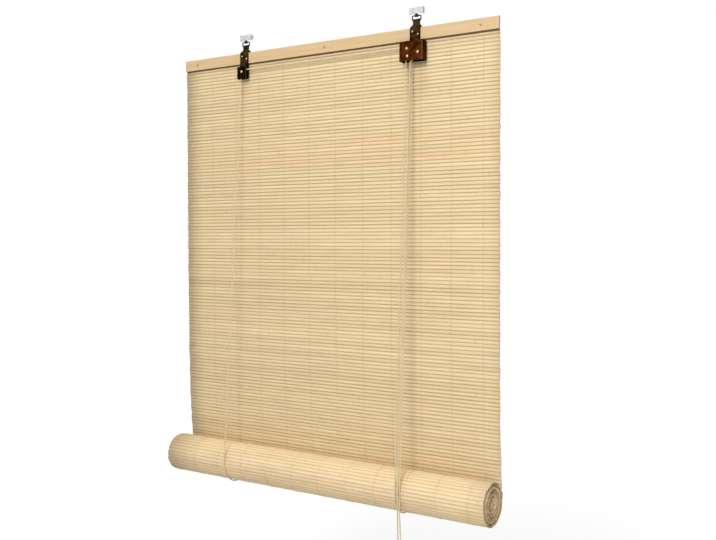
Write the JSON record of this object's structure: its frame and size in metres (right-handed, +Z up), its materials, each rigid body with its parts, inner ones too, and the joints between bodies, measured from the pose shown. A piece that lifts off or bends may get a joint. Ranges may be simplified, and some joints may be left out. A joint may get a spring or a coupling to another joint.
{
  "type": "bamboo roll-up blind",
  "caption": "Bamboo slat blind, partly rolled up, hung from ceiling hooks by rings, with a nailed head rail, cord pulleys and a cord lock that hold the roll in cord slings.",
  "frame": {"origin": "middle of the line between the screw holes of both mounting plates, on the ceiling plane", "axes": "+Z up, +X to the right along the rail as seen from the room, front of the blind towards -Y"},
  "size_m": [0.8, 0.1004, 1.0848],
  "materials": {
    "bamboo": "satin",
    "pale_wood": "satin",
    "white_plate": "satin",
    "ring_wire": "satin",
    "dark_strap": "satin",
    "brown_cover": "satin",
    "bright_steel": "polished",
    "pulley_plastic": "matte",
    "pawl_steel": "satin",
    "cord": "matte"
  },
  "bodies": {
    "mounts": {"left_mounting_plate": "white_plate", "right_mounting_plate": "white_plate"},
    "rings": {"left_ring": "ring_wire", "right_ring": "ring_wire"},
    "head": {"front_batten": "pale_wood", "rear_batten": "pale_wood", "batten_nails": "bright_steel", "left_strap": "dark_strap", "right_strap": "dark_strap", "left_strap_nails": "bright_steel", "right_strap_nails": "bright_steel", "left_pulley_cover": "dark_strap", "left_pulley_pin": "bright_steel", "lock_cover": "brown_cover", "lock_pulley_pin": "bright_steel", "lock_guide_pin": "bright_steel", "lock_pawl_pin": "bright_steel", "hanging_mat": "bamboo", "left_back_cord": "cord", "right_back_cord": "cord", "left_front_cord": "cord", "right_front_cord": "cord", "cross_cord": "cord", "lock_cord": "cord", "pull_cords": "cord", "back_knots": "cord"},
    "left_pulley": {"left_pulley": "pulley_plastic"},
    "lock_pulley": {"lock_pulley": "pulley_plastic"},
    "lock_pawl": {"lock_pawl": "pawl_steel"},
    "roll": {"mat_roll": "bamboo", "bottom_bar": "pale_wood", "left_sling_cord": "cord", "right_sling_cord": "cord", "pull_tails": "cord", "pull_knots": "cord"}
  },
  "joints": [
    {"name": "ring_swing", "type": "hinge", "parent": "mounts", "child": "rings", "pos_m": [0, -0.014, -0.016], "axis": [1, 0, 0], "range_deg": [-30, 30]},
    {"name": "head_swing", "type": "hinge", "parent": "rings", "child": "head", "pos_m": [0, -0.014, -0.025], "axis": [1, 0, 0], "range_deg": [-30, 30]},
    {"name": "left_pulley_spin", "type": "hinge", "parent": "head", "child": "left_pulley", "pos_m": [-0.22, -0.025, -0.0855], "axis": [0, 1, 0], "continuous": true},
    {"name": "lock_pulley_spin", "type": "hinge", "parent": "head", "child": "lock_pulley", "pos_m": [0.211, -0.028, -0.0855], "axis": [0, 1, 0], "continuous": true},
    {"name": "pawl_tilt", "type": "hinge", "parent": "head", "child": "lock_pawl", "pos_m": [0.2355, -0.02905, -0.0947], "axis": [0, -1, 0], "range_deg": [0, 30]},
    {"name": "roll_lift", "type": "slide", "parent": "head", "child": "roll", "axis": [0, -0.0411, 0.9992], "range_m": [0, 0.79], "deforming": ["hanging_mat", "left_back_cord", "right_back_cord", "left_front_cord", "right_front_cord", "pull_cords"]}
  ]
}
